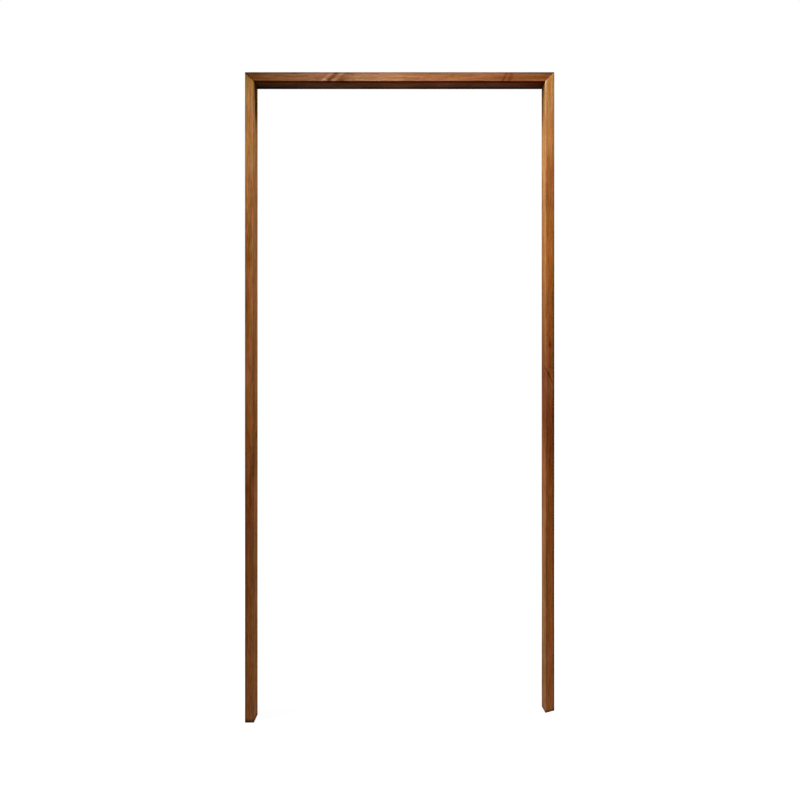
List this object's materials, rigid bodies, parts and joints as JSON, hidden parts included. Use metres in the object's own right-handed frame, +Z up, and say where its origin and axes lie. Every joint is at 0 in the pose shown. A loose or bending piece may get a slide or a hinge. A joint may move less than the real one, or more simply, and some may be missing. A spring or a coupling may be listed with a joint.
{
  "type": "door frame",
  "caption": "Mitred door frame of wood-grain finished MDF: jambs and head rebated for a door leaf, dowelled and screwed at the corners, with the right jamb cut short and skewed at its foot.",
  "frame": {"origin": "floor level under the long left jamb's foot, in the middle of the frame's outer width and of its depth", "axes": "+Z up along the jambs, +X to the right seen from the room, -Y out of the face towards the room, +Y out of the rebated side where the door leaf closes"},
  "size_m": [0.956, 0.132, 2.01],
  "materials": {
    "wood_grain_finish": "stained wood-grain finish under satin lacquer",
    "beech": "bare",
    "zinc_plated_steel": "zinc plated"
  },
  "bodies": {
    "root": {"head": "wood_grain_finish", "left_jamb": "wood_grain_finish", "right_jamb": "wood_grain_finish", "left_dowel_1": "beech", "left_dowel_2": "beech", "right_dowel_1": "beech", "right_dowel_2": "beech", "left_screw_1": "zinc_plated_steel", "left_screw_2": "zinc_plated_steel", "right_screw_1": "zinc_plated_steel", "right_screw_2": "zinc_plated_steel"}
  },
  "joints": []
}
